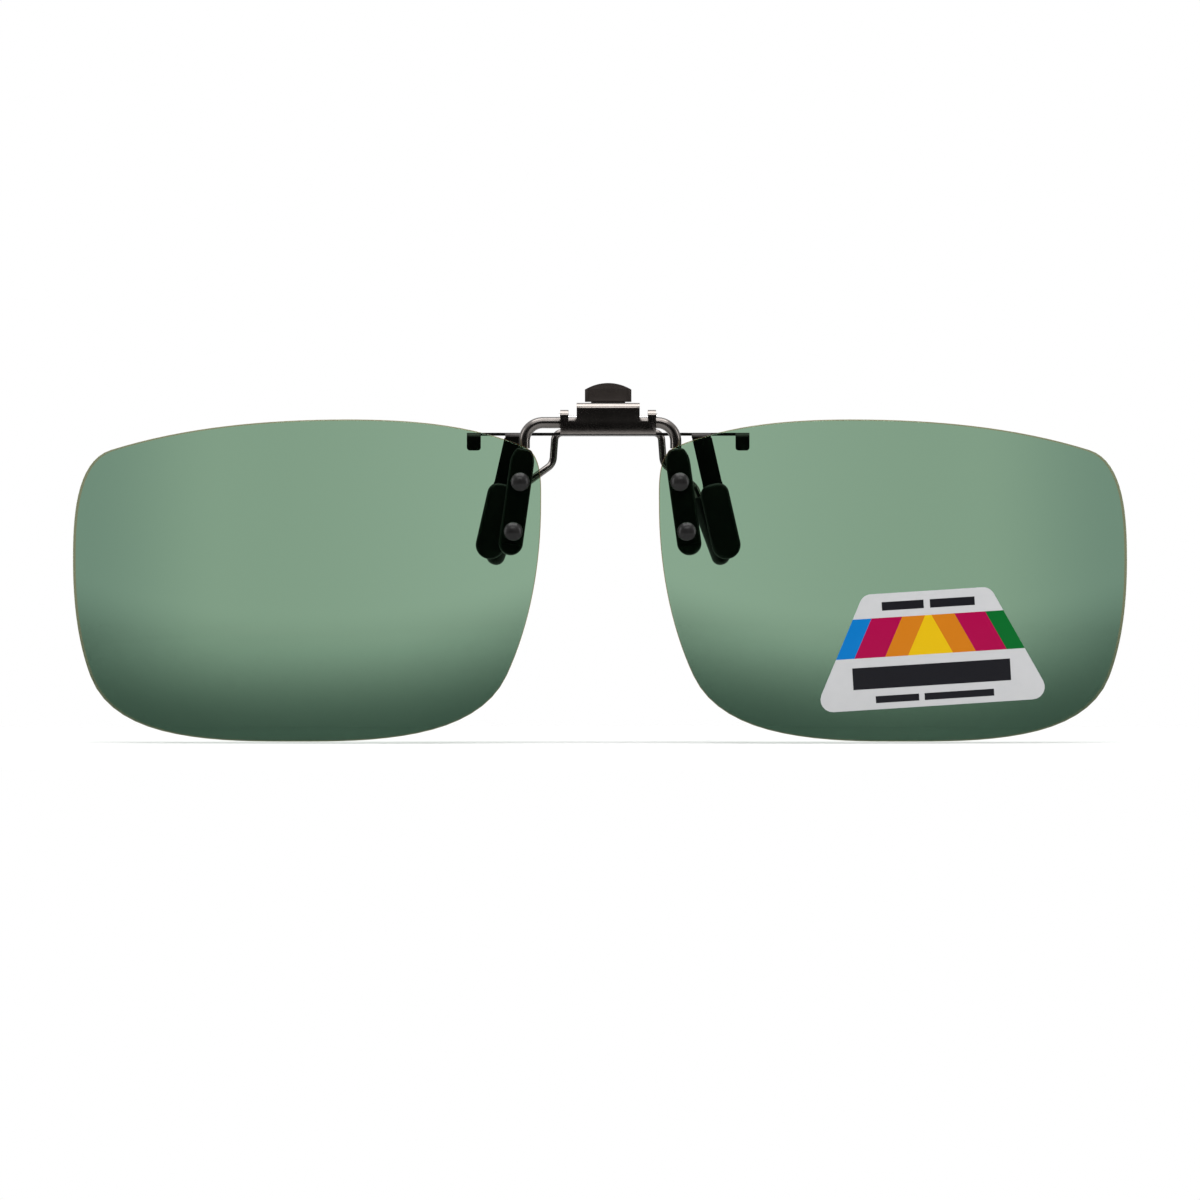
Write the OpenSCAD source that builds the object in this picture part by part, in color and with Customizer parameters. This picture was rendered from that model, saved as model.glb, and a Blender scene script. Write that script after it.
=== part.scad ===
// Flip-up clip-on sunglasses: two rimless lenses on a wire yoke, which turns in a
// sprung clamp that grips a pair of spectacles.
// X runs across the face towards the wearer's left, Y towards the face, Z up.
// The origin is the middle of the shelf's underside, in the plane of the front jaw.

/* [Lenses] */
// Width over both lenses
overall_w = 136; // [110:1:160]
// Gap between the lenses where it is narrowest
lens_gap = 15.1; // [12:0.1:20]
// Height of a lens
lens_h = 41.4; // [32:0.1:55]
// Thickness of a lens
lens_t = 1; // [0.7:0.05:2]
// Radius of a lens's front surface
lens_r = 150; // [120:5:300]
// Height of a lens's top edge over the shelf's underside
lens_top = 2; // [1:0.1:3]
// Distance from the middle to the point of a lens that faces straight ahead
lens_apex_x = 22; // [15:0.5:30]

/* [Label] */
// Width of the label along its top
label_top_w = 17.6; // [8:0.1:24]
// Width of the label along its bottom
label_bottom_w = 29; // [12:0.1:34]
// Height of the label
label_h = 14.8; // [6:0.1:18]
// Thickness of the label
label_t = 0.1; // [0.05:0.05:0.3]
// Radius of the label's corners
label_corner_r = 1.6; // [0.5:0.1:2.5]
// Distance of the label's middle from the middle of the lens pair
label_x = 42.4; // [30:0.1:50]
// Depth of the label's middle below the shelf's underside
label_drop = 27.4; // [20:0.1:30]
// Turn of the label on the lens
label_turn = 3.6; // [-8:0.1:8]

/* [Yoke] */
// Diameter of the yoke's wire
yoke_d = 1.45; // [1.2:0.05:1.6]
// Radius of the yoke's two bends, at the middle of the wire
yoke_bend_r = 2.4; // [2:0.05:3]
// Distance that the yoke has slid towards the wearer's right in its bearings
yoke_slide = 1.05; // [0:0.05:1.1]
// Width of the flattened paddle that carries the rivets
paddle_w = 2.1; // [1.8:0.05:2.4]
// Thickness of the paddle
paddle_t = 0.6; // [0.4:0.05:0.8]
// Diameter of the swaged neck between wire and paddle
neck_d = 0.9; // [0.7:0.05:1]
// Depth of the four flats that the leaf spring clicks on
flat_depth = 0.12; // [0.05:0.01:0.2]

/* [Paddle covers] */
// Width of a paddle cover
cover_w = 3.1; // [2.8:0.05:3.6]
// Thickness of a paddle cover
cover_t = 1.6; // [1.4:0.05:2]
// Length of a paddle cover from its collar to its round end
cover_l = 14.1; // [13:0.1:16]
// Distance of a cover's round end below its lower rivet
cover_past_rivet = 2.93; // [2:0.01:3.5]
// Length of the cover's collar on the neck
collar_l = 2.4; // [2:0.1:3]
// Diameter of the cover's collar
collar_d = 1.5; // [1.3:0.05:1.55]
// Lean of the cover away from the nose
cover_lean = 8.2; // [4:0.1:12]

/* [Rivets] */
// Distance of the upper rivet from the middle of the lens pair
rivet_x = 10.3; // [10:0.05:11]
// Depth of the upper rivet below the shelf's underside
rivet_drop = 6.1; // [5:0.1:7]
// Distance between the two rivets of a lens
rivet_pitch = 6.45; // [5:0.05:7]
// Diameter of a rivet's shank
rivet_d = 1.2; // [0.9:0.05:1.3]
// Diameter of a rivet's domed head
rivet_head_d = 2.4; // [2:0.05:2.8]
// Height of a rivet's domed head
rivet_head_h = 0.55; // [0.3:0.05:0.8]
// Diameter of a rivet's set end
rivet_end_d = 1.9; // [1.6:0.05:2.2]
// Thickness of a rivet's set end
rivet_end_h = 0.3; // [0.2:0.05:0.4]

/* [Housing] */
// Width of the housing over its bearings
housing_w = 12.3; // [11.5:0.1:12.4]
// Width of the housing's middle
housing_mid_w = 8.1; // [7.6:0.1:8.6]
// Width of a bearing
bearing_w = 1.05; // [0.8:0.05:1.2]
// Height of the housing's middle
housing_h = 4.13; // [3.9:0.01:4.2]
// Height of the bearings
bearing_h = 3.23; // [3:0.01:3.4]
// Height of the notches' floor
notch_h = 1.8; // [1.4:0.05:2]
// Thickness of the housing's sheet
housing_t = 0.4; // [0.3:0.05:0.45]
// Radius of the housing's top bend
housing_bend_r = 0.85; // [0.6:0.05:0.9]
// Height of the housing's front lip over the shelf's underside
lip_h = 0.12; // [0.05:0.01:0.3]
// Distance of the yoke's axis in front of the front jaw
shaft_front = 2; // [1.9:0.05:2.4]
// Height of the yoke's axis
shaft_h = 1.6; // [1.55:0.01:1.7]
// Thickness of the leaf spring
leaf_t = 0.2; // [0.1:0.01:0.22]
// Width of the leaf spring
leaf_w = 6.8; // [5:0.1:7]

/* [Lever] */
// Diameter of the lever's pin
pin_d = 1; // [0.8:0.05:1.2]
// Diameter of the pin's two set ends
pin_end_d = 1.5; // [1.3:0.05:1.8]
// Distance of the pin behind the front jaw
pin_back = 0.6; // [0.4:0.05:0.7]
// Height of the pin
pin_h = 2.1; // [2:0.05:2.2]
// Thickness of the lever's sheet
lever_t = 0.5; // [0.4:0.05:0.6]
// Width of the lever between its two ears
lever_w = 6.2; // [5.6:0.1:6.6]
// Width of the lever's tab inside the thumb cap
tab_w = 4.4; // [3.6:0.1:4.8]
// Diameter of the spring's wire
spring_d = 0.35; // [0.25:0.05:0.4]
// Radius of the spring's coil, at the middle of the wire
spring_r = 0.85; // [0.8:0.05:0.9]
// Turns of the spring
spring_turns = 6; // [3:1:9]

/* [Thumb cap] */
// Width of the thumb cap
cap_w = 6; // [5.2:0.1:7.4]
// Height of the thumb cap in its middle
cap_h = 2.4; // [2:0.1:3.5]
// Height of the thumb cap at its sides
cap_side_h = 1.55; // [1.3:0.05:1.8]
// Thickness of the thumb cap
cap_t = 2.4; // [2:0.1:3]
// Depth of the hollow in the thumb cap's face
cap_dish = 0.3; // [0.1:0.05:0.4]

/* [Front jaw] */
// Width of the shelf
shelf_w = 36.4; // [34:0.1:42]
// Depth of the shelf behind the front jaw
shelf_back = 4.2; // [3.8:0.1:4.4]
// Thickness of the jaw's sheet
jaw_t = 0.35; // [0.25:0.05:0.4]
// Outer radius of the jaw's bends
jaw_bend_r = 0.65; // [0.5:0.05:0.7]
// Width of an arm
arm_w = 2.5; // [2:0.1:2.8]
// Distance of an arm's top from the middle
arm_x = 12; // [11:0.1:12.5]
// Lean of an arm away from the nose
arm_lean = 12.8; // [8:0.1:14]
// Width of an end tab
tab_end_w = 1.8; // [1.2:0.1:2.2]
// Drop of an end tab below the shelf's underside
tab_end_drop = 1.95; // [1.5:0.05:2.5]
// Distance along an arm from the shelf to its sleeve
sleeve_start = 6.4; // [5:0.1:7]
// Length of a front sleeve
sleeve_l = 9.9; // [9:0.1:12]
// Width of a front sleeve
sleeve_w = 3.7; // [3.3:0.1:4]
// Thickness of a front sleeve
sleeve_t = 1.6; // [1.2:0.1:1.8]

/* [Rear jaw] */
// Diameter of the rear jaw's wire
wire_d = 0.95; // [0.8:0.05:1.05]
// Distance of the wire's top run behind the front jaw
wire_back = 6; // [5.8:0.1:6.5]
// Half the width of the wire's top run
wire_x = 6.85; // [6.8:0.05:7.2]
// Outer diameter of a rear sleeve
tube_d = 2.4; // [2:0.1:2.6]
// Gap between the front and the rear sleeves when the jaws are closed
grip_gap = 0.3; // [0.3:0.05:1]

/* [Hidden] */
$fn = 48;
smooth = 360;
corner_fn = 32;

// Clearances of a turning fit, a fixed fit and a pocket, and what a cut adds at its ends
running = 0.04;
seat = 0.02;
pocket = 0.05;
cut = 1;

// Small sizes of the clamp's sheet parts
shaft_room = 0.175;     // between the yoke's wire and the housing's front
housing_inset = 0.8;    // of the housing's floor from the shelf's back
flange_past_shaft = 1;
bearing_past_pin = 1.2;
bearing_corner_r = 0.6;
tab_corner_r = 0.4;
arm_relief = 0.5;       // width and depth of the slits beside an arm
stake_d = 0.8;
stake_inset = 1.2;
stake_head_d = 1.28;
stake_head_h = 0.25;
pin_end_h = 0.2;
ear_wall = 0.45;        // round the lever's pin hole
coil_room = 0.13;       // between the spring and the lever
curl_inset = 2.6;       // of the lever's curl from the wire's corners
curl_end_z = 0.05;      // where the curl stops under the wire
wire_lift = -0.025;     // of the wire over the shelf's underside

// Small sizes of the moulded parts
sleeve_corner_r = 1.4;
cap_over_housing = 0.23;
cap_past_pin = 0.1;
cap_rim = 0.35;
dish_r = 9;
tab_top_gap = 0.15;
neck_in_paddle = 1.6;
tip_flat = 0.04;        // ground off a rear sleeve's round end

// The rear wire's bends and tip on the wearer's left, from its top corner: X and Z
knee_offset = [0.3, -3.6];
knee_in = 0.1;
elbow_offset = [4.35, -6.6];
tip_offset = [8.05, -16.6];
top_bend_r = 1;
low_bend_r = 1.6;
tube_from_elbow = 1.4;

// The torsion spring's winding
spring_pitch = 0.43;
spring_leg = 0.3;
spring_leg_up = 0.35;
spring_sides = 8;
spring_steps = 20;

// The outline of a lens, clockwise from its crest: each point's share of the width from
// the nose, its share of the height from the top, and the heading of the edge there
outline_nodes = [[0.415, 0, 0], [0.919, 0.093, -17], [1, 0.435, -90], [0.962, 0.8, -111],
                 [0.521, 1, -180], [0.073, 0.795, -245], [0, 0.264, -270], [0.035, 0.085, -337]];
outline_pull = 0.33;
outline_steps = 8;
lens_w = (overall_w - lens_gap) / 2;
lens_mid_z = lens_top - lens_h / 2;
lens_back_r = lens_r - lens_t;

// The rivet line, and the plane that touches the lens's back between the rivets
shaft_y = -shaft_front;
rivet_mid = [rivet_x + rivet_pitch / 2 * sin(cover_lean),
             -rivet_drop - rivet_pitch / 2 * cos(cover_lean)];
off_x = rivet_mid[0] - lens_apex_x;
off_z = rivet_mid[1] - lens_mid_z;
seat_depth = sqrt(pow(lens_back_r, 2) - pow(off_x, 2) - pow(off_z, 2));
seat_out = [off_x, -seat_depth, off_z] / lens_back_r;
lean_up = [-sin(cover_lean), 0, cos(cover_lean)];
seat_up = unit(lean_up - (lean_up * seat_out) * seat_out);
seat_side = cross(seat_up, seat_out);
cover_sag = pow(cover_l / 2, 2) / (2 * lens_back_r);
cover_mid = -seat - cover_sag - cover_t / 2;
cover_foot = cover_w / 2 - cover_past_rivet - rivet_pitch / 2;
cover_neck = cover_foot - cover_w / 2 + cover_l;
seat_point = [rivet_mid[0],
              shaft_y - seat_up[1] * cover_neck - seat_out[1] * cover_mid,
              rivet_mid[1]];
neck_point = seat_point + seat_up * cover_neck + seat_out * cover_mid;
lens_centre = [lens_apex_x, seat_point[1] + seat_depth, lens_mid_z];
rivet_base = cover_mid - cover_t / 2 - seat;

// The housing and the lever
housing_front = shaft_y - yoke_d / 2 - housing_t - shaft_room;
housing_floor = jaw_t;
housing_back = shelf_back - housing_inset;
flange_back = shaft_y + flange_past_shaft;
bearing_back = pin_back + bearing_past_pin;
stake_x = (housing_w / 2 - bearing_w + lever_w / 2 + lever_t) / 2;
stake_y = housing_back - stake_inset;
lever_back = pin_back + spring_r + spring_d / 2 + coil_room;
ear_r = pin_d / 2 + ear_wall;
wire_z = wire_d / 2 + wire_lift;
curl_d = wire_d + 2 * lever_t;
curl_w = 2 * (wire_x - curl_inset);
leg_top = wire_z + wire_d / 2 + lever_t;
cap_bottom = housing_h + cap_over_housing;
cap_front = pin_back + cap_past_pin;
crown_rise = cap_h - cap_side_h;
crown_r = (pow(cap_w / 2, 2) + pow(crown_rise, 2)) / (2 * crown_rise);

// The rear jaw's wire, on the wearer's left: top corner, two bends and tip
sleeve_back = (sleeve_t + jaw_t) / 2;
tube_y = sleeve_back + grip_gap + tube_d / 2;
wire_knee = [wire_x + knee_offset[0], wire_back - knee_in, knee_offset[1]];
wire_elbow = [wire_x + elbow_offset[0], tube_y, elbow_offset[1]];
wire_tip = [wire_x + tip_offset[0], tube_y, tip_offset[1]];
tube_dir = unit(wire_tip - wire_elbow);
wire_end = wire_tip - tube_dir * tube_d / 2;
tube_start = wire_elbow + tube_dir * tube_from_elbow;
wire_route = [[0, wire_back, wire_z], [wire_x, wire_back, wire_z],
              wire_knee, wire_elbow, wire_end];
wire_bends = [0, top_bend_r, low_bend_r, low_bend_r, 0];

function unit(v) = v / norm(v);
function bezier(a, b, c, d, t) =
    pow(1 - t, 3) * a + 3 * pow(1 - t, 2) * t * b + 3 * (1 - t) * t * t * c + pow(t, 3) * d;

function outline_point(k) =
    [lens_gap / 2 + outline_nodes[k][0] * lens_w, lens_top - outline_nodes[k][1] * lens_h];
function heading(k) = [cos(outline_nodes[k][2]), sin(outline_nodes[k][2])];

// Points of a lens's outline in X and Z, on the wearer's left
function outline() =
    [for (k = [0:len(outline_nodes) - 1])
        let (next = (k + 1) % len(outline_nodes),
             a = outline_point(k), d = outline_point(next),
             pull = outline_pull * norm(d - a))
        for (i = [0:outline_steps - 1])
            bezier(a, a + pull * heading(k), d - pull * heading(next), d, i / outline_steps)];

// Mirrors to the wearer's right when side is -1
module on_side(side) {
    mirror([side < 0 ? 1 : 0, 0, 0]) children();
}

// The lens pair's own middle, which has slid along the housing
module lens_pair() {
    translate([-yoke_slide, 0, 0]) children();
}

// Local X across the paddle, Y up along it, Z out of the lens's front
module on_seat() {
    multmatrix([[seat_side[0], seat_up[0], seat_out[0], seat_point[0]],
                [seat_side[1], seat_up[1], seat_out[1], seat_point[1]],
                [seat_side[2], seat_up[2], seat_out[2], seat_point[2]],
                [0, 0, 0, 1]]) children();
}

// A flat shape drawn in X and Z, given a thickness towards the face
module upright(y, t) {
    translate([0, y + t, 0]) rotate([90, 0, 0]) linear_extrude(t) children();
}

// A profile drawn in Y and Z, centred across the face
module across(w) {
    translate([-w / 2, 0, 0]) rotate([90, 0, 90]) linear_extrude(w) children();
}

module bar_x(d, w) {
    rotate([0, 90, 0]) cylinder(d = d, h = w, center = true);
}

// A stadium between two heights on its long axis, which are its circles' centres
module stadium(w, low, high) {
    translate([-w / 2, low]) square([w, high - low]);
    translate([0, low]) circle(d = w);
    translate([0, high]) circle(d = w);
}

// A strip between two heights, with its two lower corners rounded
module round_ended(w, low, high, r) {
    translate([-w / 2, low + r]) square([w, high - low - r]);
    translate([r - w / 2, low]) square([w - 2 * r, high - low]);
    for (edge = [-1, 1]) translate([edge * (w / 2 - r), low + r]) circle(r = r);
}

// Turns the children's Z from a towards b, with their origin at a
module from_to(a, b) {
    v = b - a;
    translate(a) rotate([0, acos(v[2] / norm(v)), atan2(v[1], v[0])]) children();
}

module run(a, b, d) {
    from_to(a, b) cylinder(d = d, h = norm(b - a));
}

function bend_angle(p, i) = acos(unit(p[i] - p[i - 1]) * unit(p[i + 1] - p[i]));
function trim(p, r, i) = i == 0 || i == len(p) - 1 ? 0 : r[i] * tan(bend_angle(p, i) / 2);

// Round wire of diameter d through the points p, with the bend radius r[i] at point i
module bent_wire(d, p, r) {
    for (i = [0:len(p) - 2]) {
        dir = unit(p[i + 1] - p[i]);
        run(p[i] + dir * trim(p, r, i), p[i + 1] - dir * trim(p, r, i + 1), d);
    }
    for (i = [1:len(p) - 2]) {
        u = unit(p[i] - p[i - 1]);
        v = unit(p[i + 1] - p[i]);
        inward = unit(v - (v * u) * u);
        w = cross(u, inward);
        c = p[i] - u * trim(p, r, i) + inward * r[i];
        multmatrix([[-inward[0], u[0], w[0], c[0]],
                    [-inward[1], u[1], w[1], c[1]],
                    [-inward[2], u[2], w[2], c[2]],
                    [0, 0, 0, 1]])
            rotate_extrude(angle = bend_angle(p, i)) translate([r[i], 0]) circle(d = d);
    }
}

// The clamp: a folded housing on a stamped jaw plate

module front_profile() {
    mid = housing_mid_w / 2;
    translate([-housing_w / 2, lip_h]) square([housing_w, notch_h - lip_h]);
    translate([-mid, lip_h]) square([2 * mid, housing_h - housing_bend_r - lip_h]);
    for (side = [-1, 1])
        translate([side * (housing_w - bearing_w) / 2 - bearing_w / 2, lip_h])
            square([bearing_w, bearing_h - housing_bend_r - lip_h]);
}

module bearing_profile() {
    front = housing_front + housing_bend_r;
    translate([front, bearing_h - housing_bend_r]) circle(r = housing_bend_r);
    translate([housing_front, housing_floor])
        square([bearing_back - housing_front, bearing_h - housing_bend_r - housing_floor]);
    translate([front, housing_floor])
        square([bearing_back - front - bearing_corner_r, bearing_h - housing_floor]);
    translate([bearing_back - bearing_corner_r, bearing_h - bearing_corner_r])
        circle(r = bearing_corner_r);
    translate([front, housing_floor])
        square([bearing_back - front, bearing_h - bearing_corner_r - housing_floor]);
}

module bridge_housing() color("dimgray") {
    flange_y = housing_front + housing_bend_r;
    difference() {
        union() {
            upright(housing_front, housing_t) front_profile();
            across(housing_w)
                translate([housing_front, housing_floor])
                    square([housing_back - housing_front, housing_t]);
            across(housing_mid_w)
                translate([flange_y, housing_h - housing_t])
                    square([flange_back - flange_y, housing_t]);
            translate([0, flange_y, housing_h - housing_bend_r])
                intersection() {
                    difference() {
                        bar_x(2 * housing_bend_r, housing_mid_w);
                        bar_x(2 * (housing_bend_r - housing_t), housing_mid_w + cut);
                    }
                    translate([0, -housing_bend_r, housing_bend_r])
                        cube([housing_mid_w + cut, 2 * housing_bend_r, 2 * housing_bend_r], center = true);
                }
            for (side = [-1, 1])
                translate([side * (housing_w - bearing_w) / 2, 0, 0])
                    across(bearing_w) bearing_profile();
        }
        translate([0, shaft_y, shaft_h]) bar_x(yoke_d + 2 * running, housing_w + cut);
        translate([0, pin_back, pin_h]) bar_x(pin_d + 2 * seat, housing_w + cut);
        for (side = [-1, 1])
            translate([side * stake_x, stake_y, 0]) cylinder(d = stake_d + 2 * seat, h = housing_h);
    }
}

// One strip bent down from the shelf's front edge
module bent_strip(w) {
    across(w) intersection() {
        translate([0, jaw_t - jaw_bend_r]) square(jaw_bend_r);
        difference() {
            translate([jaw_bend_r, jaw_t - jaw_bend_r]) circle(r = jaw_bend_r);
            translate([jaw_bend_r, jaw_t - jaw_bend_r]) circle(r = jaw_bend_r - jaw_t);
        }
    }
}

module front_arm() {
    arm_l = sleeve_start + sleeve_l - sleeve_w / 2;
    translate([arm_x, 0, 0]) {
        bent_strip(arm_w);
        upright(0, jaw_t) intersection() {
            rotate(arm_lean) stadium(arm_w, -arm_l, arm_w);
            translate([-arm_w, -arm_l - arm_w]) square([4 * arm_w, arm_l + arm_w + jaw_t - jaw_bend_r]);
        }
    }
}

module front_jaw_plate() color("gray") {
    difference() {
        union() {
            translate([-shelf_w / 2, jaw_bend_r, 0])
                cube([shelf_w, shelf_back - jaw_bend_r, jaw_t]);
            translate([-housing_w / 2, housing_front + housing_t + pocket, 0])
                cube([housing_w, shelf_back - housing_front - housing_t - pocket, jaw_t]);
        }
        for (side = [-1, 1], edge = [-1, 1])
            translate([side * arm_x + edge * (arm_w + arm_relief) / 2 - arm_relief / 2, -cut, -cut])
                cube([arm_relief, jaw_bend_r + arm_relief + cut, jaw_t + 2 * cut]);
        for (side = [-1, 1])
            translate([side * stake_x, stake_y, -cut]) cylinder(d = stake_d + 2 * seat, h = jaw_t + 2 * cut);
    }
    for (side = [-1, 1]) on_side(side) {
        front_arm();
        translate([(shelf_w - tab_end_w) / 2, 0, 0]) {
            bent_strip(tab_end_w);
            upright(0, jaw_t)
                round_ended(tab_end_w, -tab_end_drop, jaw_t - jaw_bend_r, tab_corner_r);
        }
    }
}

module housing_stakes() color("silver") {
    top = housing_floor + housing_t;
    for (side = [-1, 1]) translate([side * stake_x, stake_y, 0]) {
        cylinder(d = stake_d, h = top + stake_head_h);
        translate([0, 0, top + seat]) cylinder(d = stake_head_d, h = stake_head_h);
    }
}

// A hairpin between the yoke's flats and the underside of the housing's top
module leaf_spring() color("lightsteelblue") {
    low = shaft_h + yoke_d / 2 + running;
    high = housing_h - housing_t - running;
    hairpin_r = (high - low) / 2;
    hairpin_y = housing_front + housing_t + pocket + hairpin_r;
    across(leaf_w) {
        intersection() {
            translate([hairpin_y - 2 * hairpin_r, low]) square(2 * hairpin_r);
            difference() {
                translate([hairpin_y, low + hairpin_r]) circle(r = hairpin_r);
                translate([hairpin_y, low + hairpin_r]) circle(r = hairpin_r - leaf_t);
            }
        }
        translate([hairpin_y, low]) square([flange_back - hairpin_y, leaf_t]);
        translate([hairpin_y, high - leaf_t]) square([flange_back - hairpin_y, leaf_t]);
    }
}

module lever_pin() color("silver") {
    translate([0, pin_back, pin_h]) {
        bar_x(pin_d, housing_w + 2 * pin_end_h);
        for (side = [-1, 1])
            translate([side * (housing_w / 2 + seat + pin_end_h / 2), 0, 0])
                bar_x(pin_end_d, pin_end_h);
    }
}

module front_sleeve(side) color("#101011") on_side(side) {
    middle = (jaw_t - sleeve_t) / 2;
    arm_end = -sleeve_start - sleeve_l + sleeve_w / 2;
    translate([arm_x, 0, 0]) difference() {
        upright(middle, sleeve_t) rotate(arm_lean) {
            translate([0, arm_end]) circle(d = sleeve_w);
            rotate(180) round_ended(sleeve_w, sleeve_start, -arm_end, sleeve_corner_r);
        }
        upright(-seat, jaw_t + 2 * seat)
            rotate(arm_lean) stadium(arm_w + 2 * seat, arm_end, arm_w);
    }
}

// The spring's route: a leg on the housing's floor, the coil on the pin, a leg on the lever
spring_half = spring_turns * spring_pitch / 2;
function spring_route() = concat(
    [[-spring_half, shaft_y + yoke_d / 2 + spring_leg,
      housing_floor + housing_t + spring_d / 2 + seat]],
    [for (i = [0:spring_turns * spring_steps + spring_steps / 2])
        let (a = -90 - 360 * i / spring_steps)
        [-spring_half + spring_pitch * i / spring_steps,
         pin_back + spring_r * cos(a), pin_h + spring_r * sin(a)]],
    [[spring_half + spring_pitch / 2, lever_back - spring_d / 2 - seat, pin_h + spring_r + spring_leg_up]]);

module swept_wire(p, d, sides) {
    n = len(p);
    function dir(i) = unit(p[min(i + 1, n - 1)] - p[max(i - 1, 0)]);
    function flank(i) = unit(cross(dir(i), [1, 0, 0]));
    ring = [for (i = [0:n - 1], k = [0:sides - 1])
        p[i] + d / 2 * (cos(360 * k / sides) * flank(i)
                        + sin(360 * k / sides) * cross(dir(i), flank(i)))];
    walls = [for (i = [0:n - 2], k = [0:sides - 1])
        let (j = (k + 1) % sides)
        [i * sides + k, i * sides + j, (i + 1) * sides + j, (i + 1) * sides + k]];
    first = [for (k = [0:sides - 1]) sides - 1 - k];
    last = [for (k = [0:sides - 1]) (n - 1) * sides + k];
    polyhedron(ring, [for (f = concat(walls, [first, last])) [for (i = [len(f) - 1:-1:0]) f[i]]]);
}

module torsion_spring() color("silver") swept_wire(spring_route(), spring_d, spring_sides);

// The rear jaw: a lever on the pin, with the thumb cap above and the gripping wire below

module lever_ear_profile() {
    translate([pin_back, pin_h]) circle(r = ear_r);
    translate([pin_back, pin_h - ear_r]) square([lever_back + lever_t - pin_back, 2 * ear_r]);
}

module thumb_lever() color("gray") difference() {
    union() {
        upright(lever_back, lever_t) {
            translate([-lever_w / 2, leg_top - lever_t])
                square([lever_w, pin_h + ear_r + leaf_t - leg_top + 2 * lever_t]);
            translate([-tab_w / 2, leg_top])
                square([tab_w, cap_bottom + cap_side_h - tab_top_gap - leg_top]);
        }
        for (side = [-1, 1])
            translate([side * (lever_w + lever_t) / 2, 0, 0]) across(lever_t) lever_ear_profile();
        for (side = [-1, 1])
            translate([side * lever_w / 2 - lever_t / 4, lever_back, pin_h - ear_r])
                cube([lever_t / 2, lever_t, 2 * ear_r]);
        translate([-lever_w / 2, lever_back, leg_top - lever_t])
            cube([lever_w, wire_back - lever_back, lever_t]);
        translate([0, wire_back, wire_z]) bar_x(curl_d, curl_w);
    }
    translate([0, wire_back, wire_z]) bar_x(wire_d + 2 * seat, curl_w + cut);
    translate([-curl_w / 2 - cut, wire_back - curl_d, curl_end_z - curl_d])
        cube([curl_w + 2 * cut, 2 * curl_d, curl_d]);
    translate([0, pin_back, pin_h]) bar_x(pin_d + 2 * running, lever_w + 2 * lever_t + cut);
}

module cap_profile() {
    intersection() {
        translate([-cap_w / 2, cap_bottom]) square([cap_w, cap_h]);
        translate([0, cap_bottom + cap_h - crown_r]) circle(r = crown_r);
    }
}

module thumb_cap() color("#141415") difference() {
    upright(cap_front, cap_t) cap_profile();
    translate([0, cap_front + cap_dish - dish_r, cap_bottom + cap_side_h / 2])
        bar_x(2 * dish_r, cap_w - 2 * cap_rim);
    upright(lever_back - pocket, lever_t + 2 * pocket)
        translate([-tab_w / 2 - pocket, cap_bottom - cut])
            square([tab_w + 2 * pocket, cap_side_h - tab_top_gap + pocket + cut]);
}

module rear_jaw_wire() color("silver") for (side = [-1, 1])
    on_side(side) bent_wire(wire_d, wire_route, wire_bends);

module rear_sleeve(side) color("#101011") on_side(side) {
    bore_r = wire_d / 2 + seat;
    tube_l = norm(wire_end - tube_start);
    from_to(tube_start, wire_end) rotate_extrude() difference() {
        union() {
            square([tube_d / 2, tube_l]);
            intersection() {
                translate([0, tube_l]) circle(d = tube_d);
                translate([0, tube_l]) square([tube_d, tube_d / 2 - tip_flat]);
            }
        }
        translate([0, -cut]) square([bore_r, tube_l + cut + seat]);
    }
}

// The lens pair on its yoke

module lens_yoke() color("silver") lens_pair() {
    left = neck_point[0];
    foot = [left, shaft_y, neck_point[2]];
    difference() {
        bent_wire(yoke_d, [[-left, shaft_y, foot[2]], [-left, shaft_y, shaft_h],
                           [left, shaft_y, shaft_h], foot],
                  [0, yoke_bend_r, yoke_bend_r, 0]);
        translate([yoke_slide, shaft_y, shaft_h]) difference() {
            bar_x(2 * yoke_d, leaf_w + 0.4);
            cube([leaf_w + cut, yoke_d - 2 * flat_depth, yoke_d - 2 * flat_depth], center = true);
        }
    }
    for (side = [-1, 1]) on_side(side) {
        translate(foot) sphere(d = yoke_d);
        difference() {
            on_seat() translate([0, 0, cover_mid]) {
                translate([0, 0, -paddle_t / 2])
                    linear_extrude(paddle_t)
                        stadium(paddle_w, cover_foot, cover_neck - collar_l - paddle_w / 2);
                translate([0, cover_neck, 0]) rotate([90, 0, 0])
                    cylinder(d = neck_d, h = collar_l + neck_in_paddle);
            }
            rivet_bores(rivet_d + 2 * seat);
        }
    }
}

module rivet_bores(d) {
    for (end = [-1, 1])
        on_seat() translate([0, end * rivet_pitch / 2, -2 * cover_t])
            cylinder(d = d, h = 4 * cover_t);
}

module paddle_cover(side) color("#0d0d0e") lens_pair() on_side(side) difference() {
    on_seat() {
        translate([0, 0, cover_mid - cover_t / 2])
            linear_extrude(cover_t) stadium(cover_w, cover_foot, cover_neck - collar_l);
        translate([0, cover_neck - yoke_d / 2, cover_mid]) rotate([90, 0, 0])
            cylinder(d = collar_d, h = collar_l - yoke_d / 2);
    }
    on_seat() translate([0, 0, cover_mid]) {
        translate([0, 0, -paddle_t / 2 - pocket])
            linear_extrude(paddle_t + 2 * pocket)
                stadium(paddle_w + 2 * pocket, cover_foot, cover_neck - collar_l - paddle_w / 2);
        translate([0, cover_neck + cut, 0]) rotate([90, 0, 0])
            cylinder(d = neck_d + 2 * pocket, h = collar_l + neck_in_paddle + cut);
    }
    rivet_bores(rivet_d + 2 * seat);
}

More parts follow.
